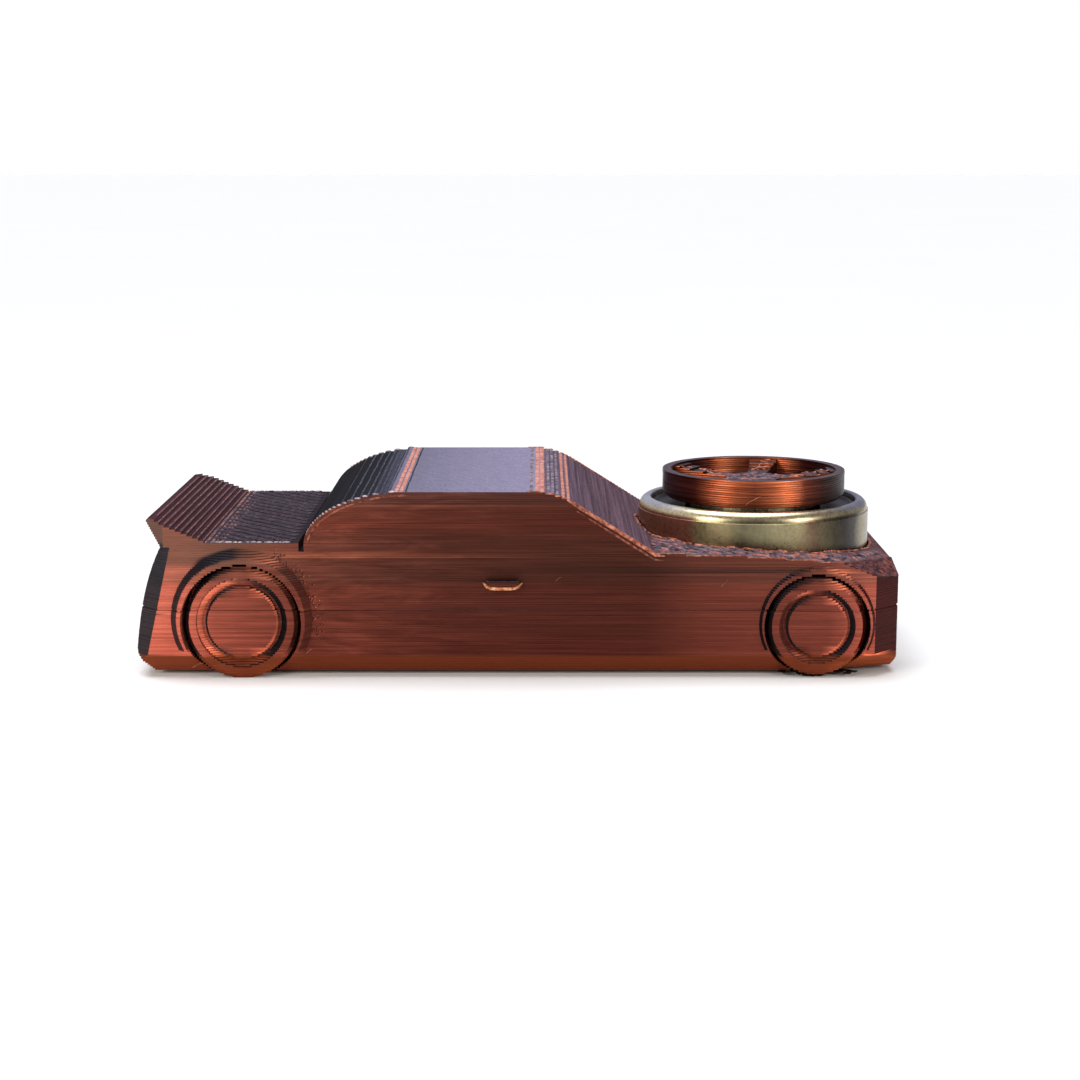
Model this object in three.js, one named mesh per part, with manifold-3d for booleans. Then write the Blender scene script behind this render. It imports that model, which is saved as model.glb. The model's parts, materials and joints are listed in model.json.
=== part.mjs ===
// Fidget spinner in the shape of a small coupe, in millimetres, +Z up.
// A 608 ball bearing is sunk upright in the bonnet. The two finger caps hold the bearing's
// inner ring, and the car spins round them. The four wheels turn on stubs caught in the body.
// +X is the front of the car. The origin is on the table, under the middle of the car.

import * as THREE from "three";
import { mergeVertices } from "three/addons/utils/BufferGeometryUtils.js";
import Module from "manifold-3d";

const wasm = await Module();
wasm.setup();

// ---------------------------------------------------------------- driving dimensions

// Car body
const CAR_LENGTH = 69.2;
const CAR_WIDTH = 30;
const NOSE_X = CAR_LENGTH / 2;
const TAIL_X = -CAR_LENGTH / 2;
const HALF_WIDTH = CAR_WIDTH / 2;
const UNDERSIDE_Z = 0.4;
const SILL_HEIGHT = 1.7;
const SILL_INSET = 1.4;
const ROOF_Z = 17;
const DECK_Z = 12.45;
const NOSE_TOP_Z = 9.8;
const BONNET_MIDDLE = { x: 22, z: 11.05 };
const BONNET_FRONT = { x: 29.3, z: 10.5 };
const WINDSCREEN_BASE = { x: 12.4, z: 11.4 };
const WINDSCREEN_TOP = { x: 5.35, z: 15.8 };
const ROOF_FRONT_X = 1.1;
const ROOF_REAR_X = -9.7;
const REAR_WINDOW_REACH = 9.5;
const REAR_WINDOW_RISE = 4.8;
const GROOVE_WIDTH = 0.45;
const GROOVE_DEPTH = 0.8;
const SPOILER_START_X = -28;
const SPOILER_TIP = { x: -33.2, z: 14.5 };
const CORNER_CHAMFER = 2.35;

// Ball bearing, size 608
const SPIN_X = 22.5;
const BEARING_OUTER_RADIUS = 11;
const BEARING_BORE_RADIUS = 4;
const BEARING_WIDTH = 7;
const BEARING_TOP_Z = 14.35;
const BEARING_MID_Z = BEARING_TOP_Z - BEARING_WIDTH / 2;
const BEARING_BOTTOM_Z = BEARING_TOP_Z - BEARING_WIDTH;
const RING_EDGE = 0.4;
const OUTER_RACE_SHOULDER = 9;
const INNER_RACE_SHOULDER = 6.05;
const BALL_COUNT = 7;
const BALL_RADIUS = 1.98;
const BALL_PITCH_RADIUS = 7.5;
const RACE_RADIUS = 2.06;
const SHIELD_SEAT_RADIUS = 9.8;
const SHIELD_SEAT_DEPTH = 1;

// Finger caps
const CAP_RADIUS = 8.72;
const CAP_RIM_WALL = 0.85;
const CAP_TOP_Z = 17.04;
const CAP_BOTTOM_Z = BEARING_TOP_Z + 0.1;
const CAP_FLOOR_Z = 15;
const SPOKE_COUNT = 5;
const SPOKE_WIDTH = 1.9;
const SPOKE_RIM_WIDTH = 3;
const FIRST_SPOKE_ANGLE = 5;
const HUB_RADIUS = 2.7;
const HUB_TOP_Z = 16.15;
const SPIGOT_RADIUS = 3.85;
const PIN_RADIUS = 2.4;
const LOWER_CAP_RADIUS = 8;
const LOWER_CAP_BOSS_RADIUS = 5;
const LOWER_CAP_FACE_Z = 0.6;
const LOWER_CAP_TOP_Z = 3.6;
const LOWER_SPIGOT_TOP_Z = 10.2;
const PIN_END_Z = 7;
const SOCKET_FLOOR_Z = 6.6;
const SOCKET_GAP = 0.2;

// Pockets in the body for the bearing and the lower cap
const POCKET_RADIUS = BEARING_OUTER_RADIUS + 0.15;
const POCKET_FLOOR_Z = BEARING_BOTTOM_Z - 0.1;
const WEB_HOLE_RADIUS = 6.4;
const COUNTERBORE_RADIUS = LOWER_CAP_RADIUS + 0.4;
const COUNTERBORE_CEILING_Z = 4.2;

// Wheels
const REAR_WHEEL = {
  x: -24.9, height: 5.1, radius: 5.1, hub: 3.3, well: 5.45, lip: 5.8, flare: 6.4, proud: 0.8, lift: 0.3,
};
const FRONT_WHEEL = {
  x: 27, height: 4.75, radius: 4.45, hub: 2.8, well: 4.8, lip: 5, flare: 5.25, proud: 0.3, lift: 0.2,
};
const WHEEL_INNER_Y = 12;
const WELL_INNER_Y = 11.7;
const WHEEL_FACE_Y = HALF_WIDTH + 0.2;
const TYRE_FACE_WIDTH = 1;
const TYRE_EDGE = 0.35;
const HUB_GROOVE_DEPTH = 0.65;
const HUB_SUNK = 0.2;
const STUB_RADIUS = 1.5;
const STUB_HEAD_RADIUS = 1.9;
const STUB_END_Y = 9.7;
const STUB_NECK_Y = 10.7;
const RUNNING_GAP = 0.3;

// Door handles
const HANDLE = { x: -1.35, z: 8.7, topWidth: 3.3, bottomWidth: 2, height: 0.8, proud: 0.7 };

const RING_SEGMENTS = 44;
const CAGE_SEGMENTS = 28;
const WHEEL_SEGMENTS = 40;
const BALL_SEGMENTS = 12;
const BIG = 100;

// ---------------------------------------------------------------- solids and cuts

function toSolid(geometry) {
  const bare = geometry.clone();
  bare.deleteAttribute("normal");
  bare.deleteAttribute("uv");
  const merged = mergeVertices(bare, 1e-5);
  const index = merged.index.array;
  const kept = [];
  for (let i = 0; i < index.length; i += 3) {
    const [a, b, c] = [index[i], index[i + 1], index[i + 2]];
    if (a !== b && b !== c && c !== a) kept.push(a, b, c);
  }
  return new wasm.Manifold(new wasm.Mesh({
    numProp: 3,
    vertProperties: new Float32Array(merged.attributes.position.array),
    triVerts: new Uint32Array(kept),
  }));
}

function toGeometry(solid) {
  const mesh = solid.getMesh();
  const geometry = new THREE.BufferGeometry();
  geometry.setAttribute("position", new THREE.BufferAttribute(new Float32Array(mesh.vertProperties), 3));
  geometry.setIndex(new THREE.BufferAttribute(new Uint32Array(mesh.triVerts), 1));
  geometry.computeVertexNormals();
  return geometry;
}

const join = (solids) => solids.reduce((whole, solid) => whole.add(solid));

// An outline in X and Z, extruded to both sides of the car's middle plane.
function acrossCar(shape, width, curveSegments = 14) {
  const geometry = new THREE.ExtrudeGeometry(shape, { depth: width, bevelEnabled: false, curveSegments });
  geometry.rotateX(Math.PI / 2);
  return geometry.translate(0, width / 2, 0);
}

// A profile of [radius, height] points turned about a vertical axis.
function turned(profile, segments) {
  const points = profile.map(([radius, height]) => new THREE.Vector2(radius, height));
  return new THREE.LatheGeometry(points, segments).rotateX(Math.PI / 2);
}

function cylinder(radius, fromZ, toZ, segments = RING_SEGMENTS) {
  return turned([[0, fromZ], [radius, fromZ], [radius, toZ], [0, toZ]], segments);
}

// A profile of [radius, distance from the middle plane] points turned about an axle.
// side is -1 for the right of the car and 1 for the left.
function turnedOnAxle(profile, side, segments = WHEEL_SEGMENTS) {
  const geometry = turned(profile, segments);
  return geometry.rotateX(-side * Math.PI / 2);
}

// Cuts away everything beyond a plane, at the same place on both sides of the car.
function trimBothSides(solid, point, normal) {
  let trimmed = solid;
  for (const side of [-1, 1]) {
    const outward = new THREE.Vector3(normal[0], normal[1] * -side, normal[2]).normalize();
    const box = new THREE.BoxGeometry(BIG, BIG, BIG);
    const turn = new THREE.Quaternion().setFromUnitVectors(new THREE.Vector3(0, 0, 1), outward);
    box.applyQuaternion(turn);
    const centre = new THREE.Vector3(point[0], point[1] * -side, point[2]).addScaledVector(outward, BIG / 2);
    box.translate(centre.x, centre.y, centre.z);
    trimmed = trimmed.subtract(toSolid(box));
  }
  return trimmed;
}

// ---------------------------------------------------------------- car body

function carOutline() {
  const shape = new THREE.Shape();
  shape.moveTo(TAIL_X + 1.6, UNDERSIDE_Z);
  shape.lineTo(NOSE_X - 0.3, UNDERSIDE_Z);
  shape.lineTo(NOSE_X, UNDERSIDE_Z + 1.2);
  shape.lineTo(NOSE_X, NOSE_TOP_Z);
  shape.lineTo(BONNET_FRONT.x, BONNET_FRONT.z);
  shape.lineTo(BONNET_MIDDLE.x, BONNET_MIDDLE.z);
  shape.lineTo(WINDSCREEN_BASE.x, WINDSCREEN_BASE.z);
  shape.lineTo(WINDSCREEN_TOP.x, WINDSCREEN_TOP.z);
  shape.quadraticCurveTo(3.4, ROOF_Z, ROOF_FRONT_X, ROOF_Z);
  shape.lineTo(ROOF_REAR_X, ROOF_Z);
  shape.absellipse(
    ROOF_REAR_X, ROOF_Z - REAR_WINDOW_RISE, REAR_WINDOW_REACH, REAR_WINDOW_RISE,
    Math.PI / 2, Math.PI, false, 0,
  );
  const windowBaseX = ROOF_REAR_X - REAR_WINDOW_REACH;
  shape.lineTo(windowBaseX, DECK_Z - GROOVE_DEPTH);
  shape.lineTo(windowBaseX - GROOVE_WIDTH, DECK_Z - GROOVE_DEPTH);
  shape.lineTo(windowBaseX - GROOVE_WIDTH, DECK_Z);
  shape.lineTo(SPOILER_START_X, DECK_Z);
  shape.lineTo(TAIL_X + 2.5, DECK_Z - 0.4);
  shape.quadraticCurveTo(TAIL_X + 0.4, 8.4, TAIL_X, 2.5);
  shape.lineTo(TAIL_X + 0.1, 2);
  return shape;
}

function spoilerOutline() {
  const shape = new THREE.Shape();
  shape.moveTo(SPOILER_START_X, DECK_Z);
  shape.lineTo(SPOILER_TIP.x, SPOILER_TIP.z);
  shape.lineTo(SPOILER_TIP.x - 0.4, SPOILER_TIP.z - 0.4);
  shape.lineTo(TAIL_X + 2.4, DECK_Z - 0.35);
  shape.lineTo(SPOILER_START_X, DECK_Z - 1);
  return shape;
}

// The raised lip round the upper part of a wheel opening.
function wheelArch(wheel, side) {
  const lipY = HALF_WIDTH + wheel.proud;
  const buriedY = HALF_WIDTH - 0.5;
  const profile = [[0, buriedY], [wheel.flare, buriedY], [wheel.flare, HALF_WIDTH], [wheel.lip, lipY], [0, lipY]];
  const cone = toSolid(turnedOnAxle(profile, side).translate(wheel.x, 0, wheel.height + wheel.lift));
  const bottomZ = UNDERSIDE_Z + SILL_HEIGHT + 0.6;
  const band = new THREE.BoxGeometry(BIG, BIG, DECK_Z - bottomZ).translate(0, 0, (DECK_Z + bottomZ) / 2);
  return cone.intersect(toSolid(band));
}

// The round opening for a wheel, with the undercut socket that keeps its stub in.
function wheelOpening(wheel, side) {
  const neck = STUB_RADIUS + RUNNING_GAP;
  const head = STUB_HEAD_RADIUS + RUNNING_GAP;
  const profile = [
    [0, STUB_END_Y - RUNNING_GAP],
    [head, STUB_END_Y - RUNNING_GAP],
    [head, STUB_END_Y + RUNNING_GAP],
    [neck, STUB_NECK_Y],
    [neck, WELL_INNER_Y],
    [wheel.well, WELL_INNER_Y],
    [wheel.well, HALF_WIDTH + 2],
    [0, HALF_WIDTH + 2],
  ];
  return toSolid(turnedOnAxle(profile, side).translate(wheel.x, 0, wheel.height));
}

function doorHandle() {
  const shape = new THREE.Shape();
  shape.moveTo(HANDLE.x - HANDLE.bottomWidth / 2, HANDLE.z - HANDLE.height / 2);
  shape.lineTo(HANDLE.x + HANDLE.bottomWidth / 2, HANDLE.z - HANDLE.height / 2);
  shape.lineTo(HANDLE.x + HANDLE.topWidth / 2, HANDLE.z + HANDLE.height / 2);
  shape.lineTo(HANDLE.x - HANDLE.topWidth / 2, HANDLE.z + HANDLE.height / 2);
  return toSolid(acrossCar(shape, CAR_WIDTH + 2 * HANDLE.proud));
}

// The flat bevels that are cut from both sides of the body, each as a point and an outward normal.
const BEVELS = {
  tailCorner: { point: [TAIL_X + 2, -HALF_WIDTH, 5.9], normal: [-7, -7, 1.6] },
  noseCorner: { point: [NOSE_X - CORNER_CHAMFER, -HALF_WIDTH, 5], normal: [1, -1, 0] },
  bonnetCorner: { point: [BONNET_FRONT.x, -HALF_WIDTH, BONNET_FRONT.z], normal: [2.7, -1.4, 6.9] },
  sill: { point: [0, -HALF_WIDTH, UNDERSIDE_Z + SILL_HEIGHT], normal: [0, -SILL_HEIGHT, -SILL_INSET] },
  underNose: { point: [NOSE_X - CORNER_CHAMFER, -HALF_WIDTH, 2.3], normal: [0.9, -2.6, -4.2] },
};

function carBody() {
  let body = toSolid(acrossCar(carOutline(), CAR_WIDTH));
  for (const { point, normal } of Object.values(BEVELS)) {
    body = trimBothSides(body, point, normal);
  }
  const spoiler = toSolid(acrossCar(spoilerOutline(), CAR_WIDTH));
  body = body.add(trimBothSides(spoiler, [TAIL_X + 2.8, -HALF_WIDTH, DECK_Z], [-1, -1, 0]));
  body = body.add(doorHandle());
  for (const wheel of [REAR_WHEEL, FRONT_WHEEL]) {
    for (const side of [-1, 1]) {
      body = body.add(wheelArch(wheel, side)).subtract(wheelOpening(wheel, side));
    }
  }
  const cuts = [
    cylinder(POCKET_RADIUS, POCKET_FLOOR_Z, BIG),
    cylinder(WEB_HOLE_RADIUS, UNDERSIDE_Z - 1, POCKET_FLOOR_Z + 1),
    cylinder(COUNTERBORE_RADIUS, UNDERSIDE_Z - 1, COUNTERBORE_CEILING_Z),
  ];
  return toGeometry(body.subtract(join(cuts.map(toSolid)).translate(SPIN_X, 0, 0)));
}

// ---------------------------------------------------------------- wheels

// A solid wheel with a groove round its hub, and a stub with a wider head on the inner side.
function wheelGeometry(wheel, side) {
  const tyreInner = wheel.radius - TYRE_FACE_WIDTH;
  const grooveY = WHEEL_FACE_Y - HUB_GROOVE_DEPTH;
  const hubY = WHEEL_FACE_Y - HUB_SUNK;
  return turnedOnAxle([
    [0, STUB_END_Y],
    [STUB_HEAD_RADIUS, STUB_END_Y],
    [STUB_RADIUS, STUB_NECK_Y],
    [STUB_RADIUS, WHEEL_INNER_Y],
    [wheel.radius, WHEEL_INNER_Y],
    [wheel.radius, WHEEL_FACE_Y - TYRE_EDGE],
    [wheel.radius - TYRE_EDGE, WHEEL_FACE_Y],
    [tyreInner, WHEEL_FACE_Y],
    [tyreInner - 0.05, WHEEL_FACE_Y - 0.25],
    [wheel.hub + 0.25, grooveY],
    [wheel.hub, grooveY],
    [wheel.hub, hubY - 0.15],
    [wheel.hub - 0.2, hubY],
    [0, hubY],
  ], side);
}

// ---------------------------------------------------------------- ball bearing

// Heights here are from the bearing's middle.
function raceArc(start, end) {
  const points = [];
  const steps = 5;
  for (let i = 0; i <= steps; i++) {
    const angle = start + (end - start) * i / steps;
    points.push([BALL_PITCH_RADIUS + RACE_RADIUS * Math.cos(angle), RACE_RADIUS * Math.sin(angle)]);
  }
  return points;
}

function outerRing() {
  const half = BEARING_WIDTH / 2;
  const seatZ = half - SHIELD_SEAT_DEPTH;
  const groove = Math.acos((OUTER_RACE_SHOULDER - BALL_PITCH_RADIUS) / RACE_RADIUS);
  const profile = [
    [SHIELD_SEAT_RADIUS, -half],
    [BEARING_OUTER_RADIUS - RING_EDGE, -half],
    [BEARING_OUTER_RADIUS, -half + 0.9],
    [BEARING_OUTER_RADIUS, half - 0.9],
    [BEARING_OUTER_RADIUS - RING_EDGE / 3, half - RING_EDGE],
    [BEARING_OUTER_RADIUS - RING_EDGE, half],
    [SHIELD_SEAT_RADIUS, half],
    [SHIELD_SEAT_RADIUS, seatZ],
    [OUTER_RACE_SHOULDER, seatZ],
    ...raceArc(groove, -groove),
    [OUTER_RACE_SHOULDER, -seatZ],
    [SHIELD_SEAT_RADIUS, -seatZ],
    [SHIELD_SEAT_RADIUS, -half],
  ];
  return turned(profile, RING_SEGMENTS);
}

function innerRing() {
  const half = BEARING_WIDTH / 2;
  const edge = 0.3;
  const groove = Math.acos((BALL_PITCH_RADIUS - INNER_RACE_SHOULDER) / RACE_RADIUS);
  const profile = [
    [BEARING_BORE_RADIUS, -half + edge],
    [BEARING_BORE_RADIUS + edge, -half],
    [INNER_RACE_SHOULDER, -half],
    ...raceArc(Math.PI + groove, Math.PI - groove),
    [INNER_RACE_SHOULDER, half],
    [BEARING_BORE_RADIUS + edge, half],
    [BEARING_BORE_RADIUS, half - edge],
    [BEARING_BORE_RADIUS, -half + edge],
  ];
  return turned(profile, RING_SEGMENTS);
}

// A pressed steel shield, dished a little towards the balls. upward is 1 or -1.
function shield(upward) {
  const seat = BEARING_WIDTH / 2 - SHIELD_SEAT_DEPTH;
  const profile = [
    [6.5, seat - 0.15],
    [6.8, seat - 0.15],
    [7.3, seat + 0.1],
    [SHIELD_SEAT_RADIUS - 0.12, seat + 0.1],
    [SHIELD_SEAT_RADIUS - 0.12, seat + 0.5],
    [7.1, seat + 0.5],
    [6.5, seat + 0.2],
    [6.5, seat - 0.15],
  ];
  const geometry = turned(profile, RING_SEGMENTS);
  return upward > 0 ? geometry : geometry.rotateX(Math.PI);
}

function ballPlaces() {
  return Array.from({ length: BALL_COUNT }, (_, i) => {
    const angle = (2 * Math.PI * i) / BALL_COUNT;
    return [BALL_PITCH_RADIUS * Math.cos(angle), BALL_PITCH_RADIUS * Math.sin(angle), 0];
  });
}

// Seven balls of one radius, as one solid, to cut or to shape the cage with.
function ballRow(radius) {
  const ball = () => new THREE.SphereGeometry(radius, BALL_SEGMENTS, 8).rotateX(Math.PI / 2);
  return join(ballPlaces().map((place) => toSolid(ball().translate(...place))));
}

// One half of the pressed cage: a flat ring with a cup over each ball.
function cageHalf(upward) {
  const [inside, outside] = [BALL_PITCH_RADIUS - 0.75, BALL_PITCH_RADIUS + 0.75];
  const band = (fromZ, toZ) => toSolid(turned(
    [[inside, fromZ], [outside, fromZ], [outside, toZ], [inside, toZ], [inside, fromZ]], CAGE_SEGMENTS,
  ));
  const cups = band(0.05, 2.5).intersect(ballRow(BALL_RADIUS + 0.35));
  const half = cups.add(band(0.05, 0.4)).subtract(ballRow(BALL_RADIUS + 0.1));
  return toGeometry(upward > 0 ? half : half.rotate([180, 0, 0]));
}

// ---------------------------------------------------------------- finger caps

// A spoke lies along +X. It curves up and grows wider towards the rim.
function spoke() {
  const start = HUB_RADIUS - 1;
  const middle = 5.4;
  const end = CAP_RADIUS - CAP_RIM_WALL / 2;
  const bottomZ = CAP_FLOOR_Z - 0.2;
  const side = new THREE.Shape();
  side.moveTo(start, bottomZ);
  side.lineTo(end, bottomZ);
  side.lineTo(end, CAP_TOP_Z - 0.1);
  side.quadraticCurveTo(middle, HUB_TOP_Z, start, HUB_TOP_Z - 0.05);
  const plan = new THREE.Shape();
  plan.moveTo(start, -SPOKE_WIDTH / 2);
  plan.quadraticCurveTo(middle, -SPOKE_WIDTH / 2, end, -SPOKE_RIM_WIDTH / 2);
  plan.lineTo(end, SPOKE_RIM_WIDTH / 2);
  plan.quadraticCurveTo(middle, SPOKE_WIDTH / 2, start, SPOKE_WIDTH / 2);
  const column = new THREE.ExtrudeGeometry(plan, { depth: 4, bevelEnabled: false, curveSegments: 4 });
  return toSolid(acrossCar(side, 6, 4)).intersect(toSolid(column.translate(0, 0, bottomZ)));
}

// The upper cap is a spoked wheel lying flat, with a spigot through the bearing's bore.
function upperCap() {
  const bottomEdge = 0.5;
  const inner = CAP_RADIUS - CAP_RIM_WALL;
  const cup = toSolid(turned([
    [0, PIN_END_Z],
    [PIN_RADIUS, PIN_END_Z],
    [PIN_RADIUS, LOWER_SPIGOT_TOP_Z + RUNNING_GAP],
    [SPIGOT_RADIUS, LOWER_SPIGOT_TOP_Z + RUNNING_GAP],
    [SPIGOT_RADIUS, CAP_BOTTOM_Z],
    [CAP_RADIUS - bottomEdge, CAP_BOTTOM_Z],
    [CAP_RADIUS, CAP_BOTTOM_Z + bottomEdge],
    [CAP_RADIUS, CAP_TOP_Z - 0.1],
    [CAP_RADIUS - 0.15, CAP_TOP_Z],
    [inner + 0.1, CAP_TOP_Z],
    [inner, CAP_TOP_Z - 0.1],
    [inner, CAP_FLOOR_Z],
    [HUB_RADIUS, CAP_FLOOR_Z],
    [HUB_RADIUS, HUB_TOP_Z],
    [0, HUB_TOP_Z],
  ], RING_SEGMENTS));
  const spokes = Array.from({ length: SPOKE_COUNT }, (_, i) => {
    const degrees = FIRST_SPOKE_ANGLE + (360 * i) / SPOKE_COUNT;
    return spoke().rotate([0, 0, degrees]);
  });
  return toGeometry(cup.add(join(spokes)));
}

// The lower cap is a dished button whose spigot takes the upper cap's pin.
function lowerCap() {
  const socketRadius = PIN_RADIUS + SOCKET_GAP;
  const dish = 0.5;
  return turned([
    [0, LOWER_CAP_FACE_Z + dish],
    [LOWER_CAP_RADIUS - 2, LOWER_CAP_FACE_Z + dish],
    [LOWER_CAP_RADIUS - 1, LOWER_CAP_FACE_Z],
    [LOWER_CAP_RADIUS - 0.3, LOWER_CAP_FACE_Z],
    [LOWER_CAP_RADIUS, LOWER_CAP_FACE_Z + 0.4],
    [LOWER_CAP_RADIUS, LOWER_CAP_TOP_Z],
    [LOWER_CAP_BOSS_RADIUS, LOWER_CAP_TOP_Z],
    [LOWER_CAP_BOSS_RADIUS, BEARING_BOTTOM_Z - 0.1],
    [SPIGOT_RADIUS, BEARING_BOTTOM_Z - 0.1],
    [SPIGOT_RADIUS, LOWER_SPIGOT_TOP_Z],
    [socketRadius, LOWER_SPIGOT_TOP_Z],
    [socketRadius, SOCKET_FLOOR_Z],
    [0, SOCKET_FLOOR_Z],
  ], RING_SEGMENTS);
}

// ---------------------------------------------------------------- assembly

const silkPlastic = (color) => new THREE.MeshStandardMaterial({ color, roughness: 0.42, metalness: 0.25 });
const steel = (color, roughness) => new THREE.MeshStandardMaterial({ color, roughness, metalness: 1 });

const car = new THREE.Group();

function addMesh(name, geometry, material, parent = car) {
  const mesh = new THREE.Mesh(geometry, material);
  mesh.name = name;
  parent.add(mesh);
  return mesh;
}

addMesh("car_body", carBody(), silkPlastic(0x7a4034));

for (const [end, wheel] of [["front", FRONT_WHEEL], ["rear", REAR_WHEEL]]) {
  for (const [hand, side] of [["right", -1], ["left", 1]]) {
    const mesh = addMesh(`${end}_wheel_${hand}`, wheelGeometry(wheel, side), silkPlastic(0x86483a));
    mesh.position.set(wheel.x, 0, wheel.height);
  }
}

const bearing = new THREE.Group();
bearing.position.set(SPIN_X, 0, BEARING_MID_Z);
car.add(bearing);
addMesh("bearing_outer_ring", outerRing(), steel(0xa8a48c, 0.3), bearing);
addMesh("bearing_inner_ring", innerRing(), steel(0xa8a8a0, 0.3), bearing);
addMesh("bearing_shield_upper", shield(1), steel(0x55565a, 0.4), bearing);
addMesh("bearing_shield_lower", shield(-1), steel(0x55565a, 0.4), bearing);
addMesh("ball_cage_upper", cageHalf(1), steel(0x8c8a80, 0.4), bearing);
addMesh("ball_cage_lower", cageHalf(-1), steel(0x8c8a80, 0.4), bearing);
ballPlaces().forEach((place, i) => {
  const ball = new THREE.SphereGeometry(BALL_RADIUS, BALL_SEGMENTS, 8).rotateX(Math.PI / 2);
  addMesh(`bearing_ball_${i + 1}`, ball, steel(0xd0d0d0, 0.1), bearing).position.set(...place);
});

const caps = new THREE.Group();
caps.position.set(SPIN_X, 0, 0);
car.add(caps);
addMesh("spinner_cap_upper", upperCap(), silkPlastic(0xa2573c), caps);
addMesh("spinner_cap_lower", lowerCap(), silkPlastic(0xa2573c), caps);

export default car;
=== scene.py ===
import json
import math
import random

import bmesh
import bpy
from mathutils import Euler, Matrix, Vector
from mathutils.bvhtree import BVHTree


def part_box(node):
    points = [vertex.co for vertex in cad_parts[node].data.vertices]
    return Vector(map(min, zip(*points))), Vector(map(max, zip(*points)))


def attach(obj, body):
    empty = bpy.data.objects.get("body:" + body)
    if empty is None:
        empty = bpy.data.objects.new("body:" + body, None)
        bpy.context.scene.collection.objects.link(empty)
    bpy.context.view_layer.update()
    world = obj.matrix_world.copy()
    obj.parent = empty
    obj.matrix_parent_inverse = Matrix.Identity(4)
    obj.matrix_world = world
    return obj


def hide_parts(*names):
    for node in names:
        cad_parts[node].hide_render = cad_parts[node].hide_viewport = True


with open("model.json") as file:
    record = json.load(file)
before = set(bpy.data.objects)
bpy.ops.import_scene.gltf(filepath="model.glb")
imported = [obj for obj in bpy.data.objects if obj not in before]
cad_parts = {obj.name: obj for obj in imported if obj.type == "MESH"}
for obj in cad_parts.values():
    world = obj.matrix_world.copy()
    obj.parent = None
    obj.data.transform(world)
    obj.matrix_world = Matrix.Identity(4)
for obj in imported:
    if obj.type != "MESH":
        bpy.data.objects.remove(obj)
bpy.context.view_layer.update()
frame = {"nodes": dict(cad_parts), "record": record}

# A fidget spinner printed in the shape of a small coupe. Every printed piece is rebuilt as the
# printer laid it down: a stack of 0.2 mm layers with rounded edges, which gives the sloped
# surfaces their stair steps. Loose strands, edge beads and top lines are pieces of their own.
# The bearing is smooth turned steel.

MM = 0.001
LAYER = 0.2 * MM
DOUBLED = 0.0005 * MM
STRAND_SUNK = 0.02 * MM
SMOOTH_BELOW = 28

FORWARD = Vector((1, 0, 0))
RIGHT = Vector((0, -1, 0))
UP = Vector((0, 0, 1))
DOWN = Vector((0, 0, -1))
SIDES = ((-1, "right"), (1, "left"))

random.seed(608)

_, body_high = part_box("car_body")
ring_low, ring_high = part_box("bearing_outer_ring")
cap_low, cap_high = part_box("spinner_cap_upper")
rear_low, rear_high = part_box("rear_wheel_right")
front_low, front_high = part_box("front_wheel_right")
SPIN_X = (ring_low.x + ring_high.x) / 2
RING_RADIUS = (ring_high.x - ring_low.x) / 2
RING_TOP = ring_high.z
RING_MIDDLE = (ring_high.z + ring_low.z) / 2
BEARING_AXIS = Vector((SPIN_X, 0, 0))
CAP_RADIUS = (cap_high.x - cap_low.x) / 2
ROOF_Z = body_high.z
HALF_WIDTH = 15 * MM
HULL_LINE_Z = 6.2 * MM
DECK_Z = 12.45 * MM
DECK_FRONT_X = -19.8 * MM
SPOILER_START_X = -28 * MM
WINDSCREEN_BASE_X = 12.4 * MM
WINDOW_BASE_X = -19.1 * MM
WINDOW_TOP_X = -9.7 * MM
WINDOW_DEPTH = 9.5 * MM
WINDOW_RISE = 4.8 * MM
NOSE_BEVEL_X = 29.3 * MM
NOSE_BEVEL_TAPER = 0.78
REAR_AXLE_X = (rear_low.x + rear_high.x) / 2
REAR_AXLE_Z = (rear_low.z + rear_high.z) / 2
FRONT_AXLE_X = (front_low.x + front_high.x) / 2
FRONT_AXLE_Z = (front_low.z + front_high.z) / 2
FRONT_RADIUS = (front_high.x - front_low.x) / 2
HANDLE_X = -1.35 * MM
HANDLE_Z = 8.7 * MM
HANDLE_REACH = 0.62 * MM
CAP_HAIR_RADIUS = 0.035 * MM
BODY_HAIR_RADIUS = 0.03 * MM


def spread(least, most):
    """A random length between two numbers of millimetres."""
    return random.uniform(least, most) * MM


# ---------------------------------------------------------------- node materials

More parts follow.
